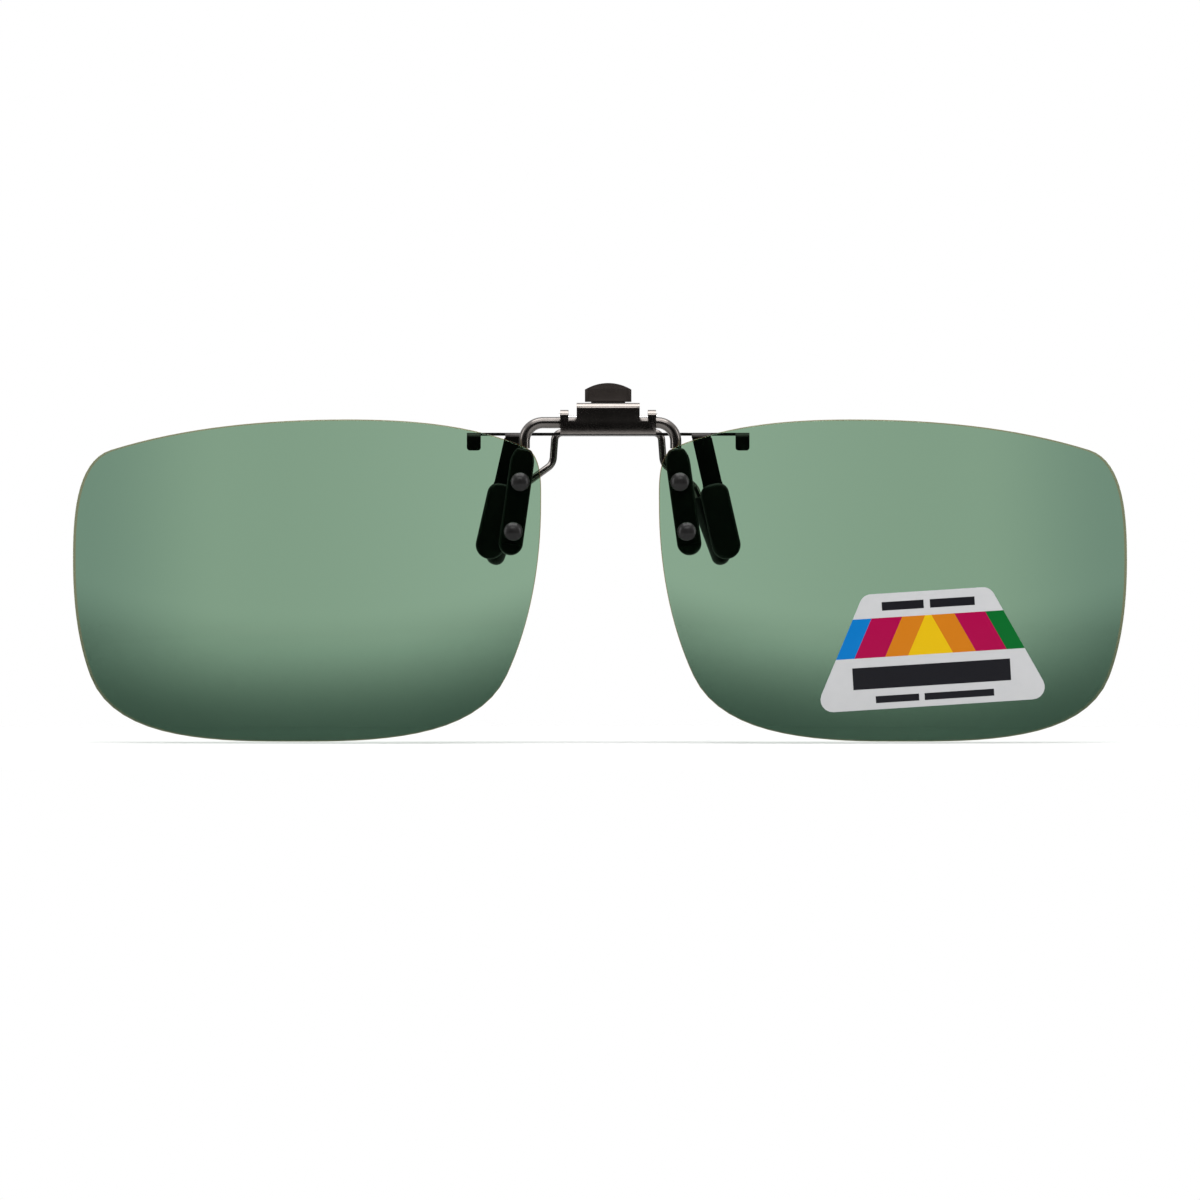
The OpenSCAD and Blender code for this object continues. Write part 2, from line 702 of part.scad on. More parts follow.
module lens_slab(inner_r, outer_r, depth) {
    intersection() {
        difference() {
            translate(lens_centre) sphere(r = outer_r, $fn = smooth);
            translate(lens_centre) sphere(r = inner_r, $fn = smooth);
        }
        upright(lens_centre[1] - outer_r - cut, depth) children();
    }
}

module lens(side) color([0.27, 0.4, 0.33, 0.8]) lens_pair() on_side(side) difference() {
    lens_slab(lens_back_r, lens_r, 16) polygon(outline());
    rivet_bores(rivet_d + 0.1);
}

module rivet(side, end) color("#222225") lens_pair() on_side(side)
    on_seat() translate([0, end * rivet_pitch / 2, 0]) {
        dome_r = (pow(rivet_head_d / 2, 2) + pow(rivet_head_h, 2)) / (2 * rivet_head_h);
        head_z = lens_t + seat;
        translate([0, 0, rivet_base]) cylinder(d = rivet_d, h = head_z - rivet_base);
        translate([0, 0, rivet_base - rivet_end_h]) cylinder(d = rivet_end_d, h = rivet_end_h);
        intersection() {
            translate([0, 0, head_z + rivet_head_h - dome_r]) sphere(r = dome_r);
            translate([0, 0, head_z]) cylinder(d = rivet_head_d + cut, h = 2 * rivet_head_h);
        }
    }

module label_profile() {
    r = label_corner_r;
    hull() for (side = [-1, 1]) {
        translate([side * (label_top_w / 2 - r), label_h / 2 - r]) circle(r = r, $fn = corner_fn);
        translate([side * (label_bottom_w / 2 - r), r - label_h / 2]) circle(r = r, $fn = corner_fn);
    }
}

module lens_label() color("whitesmoke") lens_pair()
    lens_slab(lens_r + seat, lens_r + seat + label_t, 9)
        translate([label_x, -label_drop]) rotate(label_turn) label_profile();

bridge_housing();
front_jaw_plate();
housing_stakes();
leaf_spring();
lever_pin();
front_sleeve(1);  // front_sleeve_left
front_sleeve(-1);  // front_sleeve_right
torsion_spring();
thumb_lever();
thumb_cap();
rear_jaw_wire();
rear_sleeve(1);  // rear_sleeve_left
rear_sleeve(-1);  // rear_sleeve_right
lens_yoke();
paddle_cover(1);  // paddle_cover_left
paddle_cover(-1);  // paddle_cover_right
lens(1);  // lens_left
lens(-1);  // lens_right
rivet(1, 1);  // upper_rivet_left
rivet(-1, 1);  // upper_rivet_right
rivet(1, -1);  // lower_rivet_left
rivet(-1, -1);  // lower_rivet_right
lens_label();
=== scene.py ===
import math

import bmesh
import bpy
from mathutils import Matrix, Vector


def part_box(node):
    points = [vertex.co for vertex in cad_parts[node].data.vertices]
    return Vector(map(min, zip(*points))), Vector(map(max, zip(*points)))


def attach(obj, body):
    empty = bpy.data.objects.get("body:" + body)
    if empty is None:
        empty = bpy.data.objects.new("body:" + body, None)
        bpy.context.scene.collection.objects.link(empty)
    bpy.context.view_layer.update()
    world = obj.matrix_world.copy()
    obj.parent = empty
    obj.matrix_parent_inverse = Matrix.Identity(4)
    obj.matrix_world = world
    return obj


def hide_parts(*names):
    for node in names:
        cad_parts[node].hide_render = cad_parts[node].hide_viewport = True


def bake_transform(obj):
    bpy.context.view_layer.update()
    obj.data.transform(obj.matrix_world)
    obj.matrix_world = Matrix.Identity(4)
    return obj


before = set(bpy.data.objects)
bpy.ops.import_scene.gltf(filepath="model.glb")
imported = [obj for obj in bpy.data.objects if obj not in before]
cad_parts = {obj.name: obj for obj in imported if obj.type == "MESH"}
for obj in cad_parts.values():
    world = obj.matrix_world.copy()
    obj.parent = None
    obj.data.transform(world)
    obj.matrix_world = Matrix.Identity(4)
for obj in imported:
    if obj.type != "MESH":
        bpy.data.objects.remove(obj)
for leftover in ("Cube", "Light", "Camera"):
    if leftover in bpy.data.objects:
        bpy.data.objects.remove(bpy.data.objects[leftover])
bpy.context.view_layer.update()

# ------------------------------------------------------------------ bridge housing
# The cover of the hinge, folded from one blank of sheet steel. Its two outer ears are
# the bearings of the lens yoke. It is plated in dark nickel and tumbled, so its bends
# are polished brighter than its flat face.
mm = 0.001
housing_break = 0.06 * mm


class Socket:
    """One output among a finish's nodes, on which Python arithmetic adds Math nodes."""

    def __init__(self, finish, output):
        self.finish = finish
        self.output = output

    def maths(self, operation, first, second=0.0):
        return self.finish.node("ShaderNodeMath", {"operation": operation}, {0: first, 1: second})

    def __add__(self, other):
        return self.maths("ADD", self, other)

    def __radd__(self, other):
        return self.maths("ADD", other, self)

    def __sub__(self, other):
        return self.maths("SUBTRACT", self, other)

    def __rsub__(self, other):
        return self.maths("SUBTRACT", other, self)

    def __mul__(self, other):
        return self.maths("MULTIPLY", self, other)

    def __rmul__(self, other):
        return self.maths("MULTIPLY", other, self)

    def __truediv__(self, other):
        return self.maths("DIVIDE", self, other)

    def __pow__(self, other):
        return self.maths("POWER", self, other)

    def __gt__(self, other):
        return self.maths("GREATER_THAN", self, other)

    def __lt__(self, other):
        return self.maths("LESS_THAN", self, other)

    def __abs__(self):
        return self.maths("ABSOLUTE", self)


class Finish:
    """A material, or the studio's light, with one method that adds any node to it."""

    def __init__(self, name, owner=None):
        self.material = owner or bpy.data.materials.new(name)
        self.material.use_nodes = True
        self.tree = self.material.node_tree
        self.tree.nodes.clear()

    def node(self, kind, settings, inputs, output=0):
        node = self.tree.nodes.new(kind)
        for setting, value in settings.items():
            if setting == "stops":
                ramp = node.color_ramp
                ramp.interpolation = "CONSTANT"
                while len(ramp.elements) < len(value):
                    ramp.elements.new(1.0)
                for element, (position, colour) in zip(ramp.elements, value):
                    element.position = position
                    element.color = (*colour, 1.0)
            else:
                setattr(node, setting, value)
        for socket, value in inputs.items():
            if isinstance(value, Socket):
                self.tree.links.new(value.output, node.inputs[socket])
            elif isinstance(value, tuple) and node.inputs[socket].type == "RGBA":
                node.inputs[socket].default_value = (*value, 1.0)
            else:
                node.inputs[socket].default_value = value
        return Socket(self, node.outputs[output]) if node.outputs else None

    def place(self):
        return self.node("ShaderNodeTexCoord", {}, {}, "Object")

    def axis(self, vector, name):
        return self.node("ShaderNodeSeparateXYZ", {}, {0: vector}, name)

    def noise(self, scale, detail=2.0, roughness=0.5):
        """Cloudy noise on the object's own coordinates, with a scale for each axis."""
        stretched = self.node("ShaderNodeMapping", {}, {"Vector": self.place(), "Scale": scale})
        return self.node(
            "ShaderNodeTexNoise", {},
            {"Vector": stretched, "Scale": 1.0, "Detail": detail, "Roughness": roughness}, "Fac",
        )

    def between(self, factor, low, high):
        """The low colour where the factor is 0, and the high one where it is 1."""
        return self.node("ShaderNodeMix", {"data_type": "RGBA"}, {0: factor, 6: low, 7: high}, 2)

    def ease(self, value, start, end):
        """0 before start, 1 after end, and smooth between them."""
        return self.node(
            "ShaderNodeMapRange", {"interpolation_type": "SMOOTHSTEP"},
            {"Value": value, "From Min": start, "From Max": end},
        )

    def relief(self, height, depth, strength=1.0):
        return self.node(
            "ShaderNodeBump", {}, {"Strength": strength, "Distance": depth, "Height": height}
        )

    def layered(self, factor, first, second):
        """The first shader where the factor is 0, and the second where it is 1."""
        return self.node("ShaderNodeMixShader", {}, {0: factor, 1: first, 2: second})

    def surface(self, shader):
        self.node("ShaderNodeOutputMaterial", {}, {"Surface": shader})
        return self.material


def plated_steel(name, dull, bright, roughness, drawn, grain=1.0):
    """Plated steel with fine drawing lines, and a polish that varies as much as grain says."""
    steel = Finish(name)
    lines = steel.noise(drawn, 3.0, 0.65)
    patches = steel.noise((420.0, 420.0, 420.0), 3.0)
    specks = steel.noise((2600.0, 2600.0, 2600.0), 2.0)
    tone = steel.between(patches, dull, bright)
    shader = steel.node(
        "ShaderNodeBsdfPrincipled", {},
        {
            "Base Color": tone,
            "Metallic": 1.0,
            "Roughness": roughness + 0.10 * grain * (patches + lines + 0.5 * specks - 1.1),
            "Normal": steel.relief(lines + 0.4 * specks, 0.004 * mm, 0.5 * grain),
        },
    )
    return steel.surface(shader)


def work_on(piece):
    """Leaves object mode with only this piece selected and active."""
    if bpy.context.mode != "OBJECT":
        bpy.ops.object.mode_set(mode="OBJECT")
    bpy.ops.object.select_all(action="DESELECT")
    if piece:
        piece.select_set(True)
        bpy.context.view_layer.objects.active = piece


def modified(piece, kind, **settings):
    """Adds a modifier with its settings, and applies it."""
    work_on(piece)
    bpy.ops.object.modifier_add(type=kind)
    modifier = piece.modifiers[-1]
    for setting, value in settings.items():
        setattr(modifier, setting, value)
    bpy.ops.object.modifier_apply(modifier=modifier.name)


def tumbled(node, name, edge):
    """A merged copy of a CAD node, with its sharp edges broken."""
    piece = bpy.data.objects.new(name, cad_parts[node].data.copy())
    bpy.context.collection.objects.link(piece)
    work_on(piece)
    bpy.ops.mesh.customdata_custom_splitnormals_clear()
    bpy.ops.object.mode_set(mode="EDIT")
    bpy.ops.mesh.select_all(action="SELECT")
    bpy.ops.mesh.remove_doubles(threshold=0.001 * mm)
    bpy.ops.mesh.dissolve_limited(angle_limit=math.radians(0.5))
    modified(piece, "BEVEL", width=edge, segments=2, limit_method="ANGLE", angle_limit=math.radians(40))
    bpy.ops.object.shade_smooth_by_angle(angle=math.radians(40))
    return piece


def fit(piece, material, slot, body, *nodes):
    """Gives a piece its finish and its body, and hides the CAD nodes that it stands for."""
    piece.data.materials.clear()
    piece.data.materials.append(material)
    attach(piece, body)
    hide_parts(*nodes)


gunmetal = plated_steel(
    "dark_nickel_plate", (0.150, 0.135, 0.125), (0.215, 0.195, 0.180), 0.17,
    (300.0, 5200.0, 5200.0), 0.4,
)
housing = tumbled("bridge_housing", "housing_shell", housing_break)
fit(housing, gunmetal, "gunmetal", "clamp_frame", "bridge_housing")

# ------------------------------------------------------------------ front jaw plate
# One stamping: the shelf that lies on the spectacle frame, two arms that reach down in
# front of it, and two short end tabs. Spring steel, blackened and oiled.
plate_break = 0.045 * mm

black_steel = plated_steel(
    "blackened_steel", (0.012, 0.011, 0.011), (0.03, 0.028, 0.027), 0.30, (5200.0, 900.0, 900.0)
)
jaw_plate = tumbled("front_jaw_plate", "jaw_stamping", plate_break)
fit(jaw_plate, black_steel, "black_steel", "clamp_frame", "front_jaw_plate")

# ------------------------------------------------------------------ stakes and pin
# Two studs upset over the housing's floor hold it on the shelf. The lever's pin runs
# through both ears and is peened over at its ends. Bright drawn steel.
bright_steel = plated_steel(
    "bright_steel", (0.42, 0.41, 0.40), (0.62, 0.61, 0.60), 0.26, (500.0, 3800.0, 3800.0)
)
stakes = tumbled("housing_stakes", "upset_stakes", 0.07 * mm)
fit(stakes, bright_steel, "bright_steel", "clamp_frame", "housing_stakes")

pin = tumbled("lever_pin", "peened_pin", 0.06 * mm)
fit(pin, bright_steel, "bright_steel", "clamp_frame", "lever_pin")

# ------------------------------------------------------------------ leaf spring
# A strip of hardened steel folded to a hairpin under the housing's top. It presses on
# the flats of the yoke, so the lenses click into place when flipped.
spring_steel = plated_steel(
    "spring_steel", (0.36, 0.35, 0.34), (0.56, 0.55, 0.53), 0.22, (4200.0, 500.0, 4200.0)
)
leaf = tumbled("leaf_spring", "hairpin_leaf", 0.03 * mm)
fit(leaf, spring_steel, "spring_steel", "clamp_frame", "leaf_spring")

# ------------------------------------------------------------------ front sleeves
# Soft black vinyl, dip-moulded and pushed over the two arms to protect the lenses of
# the spectacles. Each is a flat pocket with a round end and a rolled mouth.
arm_x = 12.0 * mm
arm_lean = math.radians(12.8)
jaw_t = 0.35 * mm
sleeve_start = 6.4 * mm
sleeve_l = 9.9 * mm
sleeve_w = 3.7 * mm
sleeve_t = 1.6 * mm
sleeve_corner_r = 1.4 * mm
mouth_w = 2.6 * mm
mouth_t = 0.5 * mm


def moulded(name, colour, roughness, pebble, depth):
    """Moulded black plastic or vinyl: a faint pebbled skin, with rubbed and duller patches."""
    plastic = Finish(name)
    skin = plastic.noise((pebble, pebble, pebble), 3.0, 0.6)
    rubbed = plastic.noise((260.0, 260.0, 260.0), 3.0)
    lighter = tuple(2.1 * channel for channel in colour)
    shader = plastic.node(
        "ShaderNodeBsdfPrincipled", {},
        {
            "Base Color": plastic.between(rubbed, colour, lighter),
            "Roughness": roughness + 0.16 * rubbed - 0.08,
            "Specular IOR Level": 0.25,
            "Normal": plastic.relief(skin, depth, 0.6),
        },
    )
    return plastic.surface(shader)


def pick(kind, rule):
    """Selects the faces, edges or vertices of the mesh in edit mode for which rule is true."""
    mesh = bmesh.from_edit_mesh(bpy.context.object.data)
    mesh.normal_update()
    bpy.ops.mesh.select_all(action="DESELECT")
    bpy.context.tool_settings.mesh_select_mode = (kind == "verts", kind == "edges", kind == "faces")
    for element in getattr(mesh, kind):
        if rule(element):
            element.select_set(True)
    mesh.select_flush_mode()
    bmesh.update_edit_mesh(bpy.context.object.data)


def middle_of(edge):
    return (edge.verts[0].co + edge.verts[1].co) / 2


def moulded_strip(name, width, thickness, length, top_r):
    """A flat strip hanging from Z = 0, its lower end round, its top corners rounded to top_r."""
    work_on(None)
    bpy.ops.mesh.primitive_cube_add(size=1, location=(0, 0, -length / 2), scale=(width, thickness, length))
    strip = bpy.context.object
    strip.name = name
    bpy.ops.object.transform_apply(location=True, rotation=True, scale=True)
    bpy.ops.object.mode_set(mode="EDIT")
    ends = [(-length, width / 2, 14)] + [(0, top_r, 6)] * (top_r > 0)
    for z, radius, segments in ends:
        pick("edges", lambda e: abs(middle_of(e).y) < 1e-7 and abs(middle_of(e).z - z) < 1e-7)
        bpy.ops.mesh.bevel(offset=radius, segments=segments, affect="EDGES")
    bpy.ops.mesh.select_all(action="SELECT")
    bpy.ops.mesh.remove_doubles(threshold=0.001 * mm)
    return strip


def roll_rims(radius, segments, rule=lambda e: True):
    """Rounds the edges between a strip's flat faces and its sides."""
    pick("edges", lambda e: len(e.link_faces) == 2 and e.calc_face_angle() > 0.9 and rule(e))
    bpy.ops.mesh.bevel(offset=radius, segments=segments, affect="EDGES")


def hollow(floor_z, width, thickness):
    """Opens a mouth in the strip's top face and sinks it to floor_z."""
    pick("faces", lambda f: f.normal.z > 0.99 and f.calc_center_median().z > -1e-6)
    bpy.ops.mesh.inset(thickness=0.22 * mm)
    top = [v.co for f in bmesh.from_edit_mesh(bpy.context.object.data).faces if f.select for v in f.verts]
    span_x = max(co.x for co in top) - min(co.x for co in top)
    span_y = max(co.y for co in top) - min(co.y for co in top)
    bpy.ops.transform.resize(value=(width / span_x, thickness / span_y, 1), center_override=(0, 0, 0))
    bpy.ops.mesh.extrude_region_move(TRANSFORM_OT_translate={"value": (0, 0, floor_z)})
    bpy.ops.mesh.select_all(action="DESELECT")


def settle(piece, matrix, smooth=35):
    """Moves a finished shape from the bench to its place in the clip."""
    work_on(piece)
    piece.matrix_world = matrix
    bpy.ops.object.transform_apply(location=True, rotation=True, scale=True)
    bpy.ops.object.mode_set(mode="EDIT")
    bpy.ops.mesh.select_all(action="SELECT")
    bpy.ops.mesh.normals_make_consistent(inside=False)
    if bmesh.from_edit_mesh(piece.data).calc_volume(signed=True) < 0:
        bpy.ops.mesh.flip_normals()
    bpy.ops.object.mode_set(mode="OBJECT")
    bpy.ops.object.shade_smooth_by_angle(angle=math.radians(smooth))


def twin(piece, name, middle=0.0):
    """A copy on the other side of the plane X = middle."""
    work_on(piece)
    bpy.ops.object.duplicate()
    other = bpy.context.object
    other.name = name
    settle(other, Matrix.Translation((2 * middle, 0, 0)) @ Matrix.Scale(-1, 4, (1, 0, 0)))
    return other


soft_vinyl = moulded("soft_vinyl", (0.0042, 0.0038, 0.0038), 0.42, 2400.0, 0.010 * mm)
front_sleeve = moulded_strip("vinyl_sleeve_left", sleeve_w, sleeve_t, sleeve_l, sleeve_corner_r)
roll_rims(0.42 * mm, 4)
hollow(sleeve_w / 2 - sleeve_l, mouth_w, mouth_t)
settle(
    front_sleeve,
    Matrix.Translation((arm_x, jaw_t / 2, 0))
    @ Matrix.Rotation(-arm_lean, 4, "Y")
    @ Matrix.Translation((0, 0, -sleeve_start)),
)
for piece, side in ((front_sleeve, "left"), (twin(front_sleeve, "vinyl_sleeve_right"), "right")):
    fit(piece, soft_vinyl, "soft_sleeve", "clamp_frame", "front_sleeve_" + side)

# ------------------------------------------------------------------ rear jaw wire
# One length of hard-drawn wire, bent on a jig. Its straight top is curled into the
# lever, and its two legs come forward to press on the back of the spectacle frame.
wire_d = 0.95 * mm
wire_back = 6.0 * mm
wire_x = 6.85 * mm
wire_z = 0.45 * mm
tube_d = 2.4 * mm
grip_gap = 0.3 * mm
tube_y = (sleeve_t + jaw_t) / 2 + grip_gap + tube_d / 2
wire_knee = Vector((wire_x + 0.3 * mm, wire_back - 0.1 * mm, -3.6 * mm))
wire_elbow = Vector((wire_x + 4.35 * mm, tube_y, -6.6 * mm))
wire_tip = Vector((wire_x + 8.05 * mm, tube_y, -16.6 * mm))
tube_dir = (wire_tip - wire_elbow).normalized()


def bent_wire(name, diameter, corners, radii, sides=24):
    """Round wire drawn through its corners and turned at each, as on a bending jig."""
    work_on(None)
    heading = (corners[1] - corners[0]).normalized()
    bpy.ops.mesh.primitive_circle_add(
        vertices=sides, radius=diameter / 2, fill_type="NGON",
        location=corners[0], rotation=heading.to_track_quat("Z", "Y").to_euler(),
    )
    wire = bpy.context.object
    wire.name = name
    bpy.ops.object.transform_apply(location=True, rotation=True, scale=True)
    bpy.ops.object.mode_set(mode="EDIT")
    bpy.ops.mesh.select_all(action="SELECT")
    here = corners[0]
    for index in range(1, len(corners)):
        heading = (corners[index] - corners[index - 1]).normalized()
        reach = corners[index]
        radius = radii[index]
        if radius:
            onward = (corners[index + 1] - corners[index]).normalized()
            turn = heading.angle(onward)
            reach = corners[index] - heading * radius * math.tan(turn / 2)
        bpy.ops.mesh.extrude_region_move(TRANSFORM_OT_translate={"value": reach - here})
        here = reach
        if radius:
            inward = (onward - heading * onward.dot(heading)).normalized()
            bpy.ops.mesh.spin(
                steps=max(4, round(math.degrees(turn) / 5)), angle=-turn,
                center=reach + inward * radius, axis=heading.cross(inward),
            )
            here = corners[index] + onward * radius * math.tan(turn / 2)
    bpy.ops.mesh.select_all(action="SELECT")
    bpy.ops.mesh.remove_doubles(threshold=0.001 * mm)
    return wire


drawn_wire = plated_steel(
    "drawn_wire", (0.085, 0.077, 0.072), (0.16, 0.147, 0.138), 0.20, (1700.0, 1700.0, 1700.0)
)
middle = Vector((0, wire_back, wire_z))
corner = Vector((wire_x, wire_back, wire_z))
rear_wire = bent_wire(
    "grip_wire", wire_d,
    [middle, corner, wire_knee, wire_elbow, wire_tip - tube_dir * tube_d / 2],
    [0, 1.0 * mm, 1.6 * mm, 1.6 * mm, 0],
)
pick("faces", lambda f: f.calc_center_median().x < 1e-7)
bpy.ops.mesh.delete(type="ONLY_FACE")
modified(rear_wire, "MIRROR", merge_threshold=0.001 * mm)
settle(rear_wire, Matrix())
fit(rear_wire, drawn_wire, "wire_steel", "rear_jaw", "rear_jaw_wire")

# ------------------------------------------------------------------ rear sleeves
# Lengths of soft black tube with a closed round end, pushed up each leg of the wire so
# that no bare steel touches the spectacles.
tube_start = wire_elbow + tube_dir * 1.4 * mm
tube_l = (wire_tip - tube_start).length
bore_d = wire_d + 0.04 * mm

work_on(None)
bpy.ops.mesh.primitive_cylinder_add(
    vertices=48, radius=tube_d / 2, depth=tube_l, location=(0, 0, -tube_l / 2)
)
tube = bpy.context.object
tube.name = "vinyl_tube_left"
bpy.ops.object.transform_apply(location=True, rotation=True, scale=True)
bpy.ops.object.mode_set(mode="EDIT")
pick("edges", lambda e: e.calc_face_angle() > 0.9 and middle_of(e).z < -tube_l / 2)
bpy.ops.mesh.bevel(offset=tube_d * 0.47, segments=9, affect="EDGES")
pick("edges", lambda e: e.calc_face_angle() > 0.9 and middle_of(e).z > -tube_l / 2)
bpy.ops.mesh.bevel(offset=0.2 * mm, segments=3, affect="EDGES")
pick("faces", lambda f: f.normal.z > 0.99)
bpy.ops.mesh.inset(thickness=(tube_d - bore_d) / 2 - 0.2 * mm)
bpy.ops.mesh.extrude_region_move(TRANSFORM_OT_translate={"value": (0, 0, tube_d / 2 - tube_l)})
settle(tube, Matrix.Translation(tube_start) @ tube_dir.to_track_quat("-Z", "Y").to_matrix().to_4x4())
for piece, side in ((tube, "left"), (twin(tube, "vinyl_tube_right"), "right")):
    fit(piece, soft_vinyl, "soft_sleeve", "rear_jaw", "rear_sleeve_" + side)

# ------------------------------------------------------------------ thumb lever
# A stamped lever that turns on the pin inside the housing. Its foot is curled round
# the wire, and its upper tab carries the thumb cap.
lever = tumbled("thumb_lever", "stamped_lever", 0.05 * mm)
fit(lever, gunmetal, "gunmetal", "rear_jaw", "thumb_lever")

# ------------------------------------------------------------------ torsion spring
# Six turns of fine spring wire on the pin. One leg stands on the housing's floor and
# the other behind the lever, so it keeps the jaws shut and winds up as they open.
pin_y = 0.6 * mm
pin_z = 2.1 * mm
coil_r = 0.85 * mm
coil_wire_d = 0.35 * mm
coil_pitch = 0.43 * mm
coil_turns = 6.5
coil_half = 6 * coil_pitch / 2

work_on(None)
bpy.ops.mesh.primitive_circle_add(
    vertices=12, radius=coil_wire_d / 2, location=(-coil_half, 0, -coil_r), rotation=(math.pi / 2, 0, 0)
)
coil = bpy.context.object
coil.name = "coil_spring"
bpy.ops.object.transform_apply(location=True, rotation=True, scale=True)
coil.location = (0, pin_y, pin_z)
modified(
    coil, "SCREW", axis="X", angle=math.tau * coil_turns, screw_offset=coil_pitch * coil_turns,
    steps=round(32 * coil_turns), render_steps=round(32 * coil_turns), use_smooth_shade=True,
)
bpy.ops.object.transform_apply(location=True, rotation=True, scale=True)
bpy.ops.object.mode_set(mode="EDIT")
legs = (
    (-1, Vector((-coil_half, -0.98 * mm, 0.945 * mm)), Vector((-coil_half, pin_y, pin_z - coil_r))),
    (1, Vector((coil_half + coil_pitch / 2, 1.43 * mm, 3.3 * mm)),
     Vector((coil_half + coil_pitch / 2, pin_y, pin_z + coil_r))),
)
for end, tip, root in legs:
    pick("verts", lambda v: v.is_boundary and end * v.co.x > coil_half - 0.2 * mm)
    bpy.ops.mesh.extrude_region_move(TRANSFORM_OT_translate={"value": tip - root})
    bpy.ops.mesh.edge_face_add()
settle(coil, Matrix())
coil.data.materials.append(spring_steel)
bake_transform(coil)
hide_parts("torsion_spring")

# ------------------------------------------------------------------ thumb cap
# A moulded black cap pressed onto the lever's tab. Its face is scooped for the thumb,
# which leaves a thin raised rim round a D-shaped hollow.
cap_w = 6.0 * mm
cap_h = 2.4 * mm
cap_side_h = 1.55 * mm
cap_t = 2.4 * mm
cap_dish = 0.3 * mm
cap_rim = 0.35 * mm
dish_r = 9.0 * mm
cap_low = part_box("thumb_cap")[0]

work_on(None)
crown_r = ((cap_w / 2) ** 2 + (cap_h - cap_side_h) ** 2) / (2 * (cap_h - cap_side_h))
bpy.ops.mesh.primitive_grid_add(
    x_subdivisions=28, y_subdivisions=1, size=1, location=(0, cap_low.y, 0), rotation=(math.pi / 2, 0, 0)
)
cap = bpy.context.object
cap.name = "moulded_cap"
bpy.ops.object.transform_apply(location=True, rotation=True, scale=True)
for vertex in cap.data.vertices:
    x = vertex.co.x * cap_w
    crown = cap_h - crown_r + math.sqrt(crown_r ** 2 - x ** 2)
    vertex.co = (x, cap_low.y, cap_low.z + (crown if vertex.co.z > 0 else 0))
bpy.ops.object.mode_set(mode="EDIT")
bpy.ops.mesh.select_all(action="SELECT")
bpy.ops.mesh.extrude_region_move(TRANSFORM_OT_translate={"value": (0, cap_t, 0)})
bpy.ops.mesh.select_all(action="SELECT")
bpy.ops.mesh.normals_make_consistent(inside=False)
bpy.ops.mesh.dissolve_limited(angle_limit=math.radians(0.5))
work_on(None)
bpy.ops.mesh.primitive_cylinder_add(
    vertices=160, radius=dish_r, depth=cap_w - 2 * cap_rim, rotation=(0, math.pi / 2, 0),
    location=(0, cap_low.y + cap_dish - dish_r, cap_low.z + cap_side_h / 2 + 0.1 * mm),
)
scoop = bpy.context.object
modified(cap, "BOOLEAN", operation="DIFFERENCE", object=scoop, solver="EXACT")
bpy.data.objects.remove(scoop)
modified(cap, "BEVEL", width=0.14 * mm, segments=3, limit_method="ANGLE", angle_limit=math.radians(35))
settle(cap, Matrix(), 50)
cap_plastic = moulded("cap_plastic", (0.020, 0.016, 0.014), 0.46, 3200.0, 0.006 * mm)
fit(cap, cap_plastic, "black_plastic", "rear_jaw", "thumb_cap")

# ------------------------------------------------------------------ lens yoke
# The wire that carries both lenses. It turns in the housing's ears, with four flats
# for the leaf spring, and each end is swaged to a flat paddle with two rivet holes.
slide = 1.05 * mm
yoke_d = 1.45 * mm
yoke_bend_r = 2.4 * mm
shaft_y = -2.0 * mm
shaft_z = 1.6 * mm
flat_half = yoke_d / 2 - 0.12 * mm
flat_reach = 3.6 * mm
lens_t = 1.0 * mm
lens_r = 150.0 * mm
lens_gap = 15.1 * mm
overall_w = 136.0 * mm
lens_w = (overall_w - lens_gap) / 2
lens_h = 41.4 * mm
lens_top = 2.0 * mm
lens_apex_x = 22.0 * mm
rivet_pitch = 6.45 * mm
cover_lean = math.radians(8.2)
cover_w = 3.1 * mm
cover_t = 1.6 * mm
cover_l = 14.1 * mm
cover_past_rivet = 2.93 * mm
paddle_w = 2.1 * mm
paddle_t = 0.6 * mm
collar_l = 2.4 * mm
seat_gap = 0.02 * mm

# Where the paddles touch the lenses' backs, in the lens pair's own frame
lens_back_r = lens_r - lens_t
rivet_mid = Vector((10.3 * mm + rivet_pitch / 2 * math.sin(cover_lean), 0,
                    -6.1 * mm - rivet_pitch / 2 * math.cos(cover_lean)))
off_x = rivet_mid.x - lens_apex_x
off_z = rivet_mid.z - (lens_top - lens_h / 2)
seat_depth = math.sqrt(lens_back_r ** 2 - off_x ** 2 - off_z ** 2)
seat_out = Vector((off_x, -seat_depth, off_z)) / lens_back_r
lean_up = Vector((-math.sin(cover_lean), 0, math.cos(cover_lean)))
seat_up = (lean_up - seat_out * lean_up.dot(seat_out)).normalized()
seat_side = seat_up.cross(seat_out)
cover_mid = -seat_gap - (cover_l / 2) ** 2 / (2 * lens_back_r) - cover_t / 2
cover_foot = cover_w / 2 - cover_past_rivet - rivet_pitch / 2
cover_neck = cover_foot - cover_w / 2 + cover_l
seat_point = Vector((rivet_mid.x - slide,
                     shaft_y - seat_up.y * cover_neck - seat_out.y * cover_mid, rivet_mid.z))
neck_point = seat_point + seat_up * cover_neck + seat_out * cover_mid
lens_centre = Vector((lens_apex_x - slide, seat_point.y + seat_depth, lens_top - lens_h / 2))


def on_seat(across, along, out):
    """The matrix from a bench frame, given its three axes, to the left paddle's seat."""
    turned = Matrix((across, along, out)).transposed().to_4x4()
    return Matrix.Translation(seat_point) @ turned


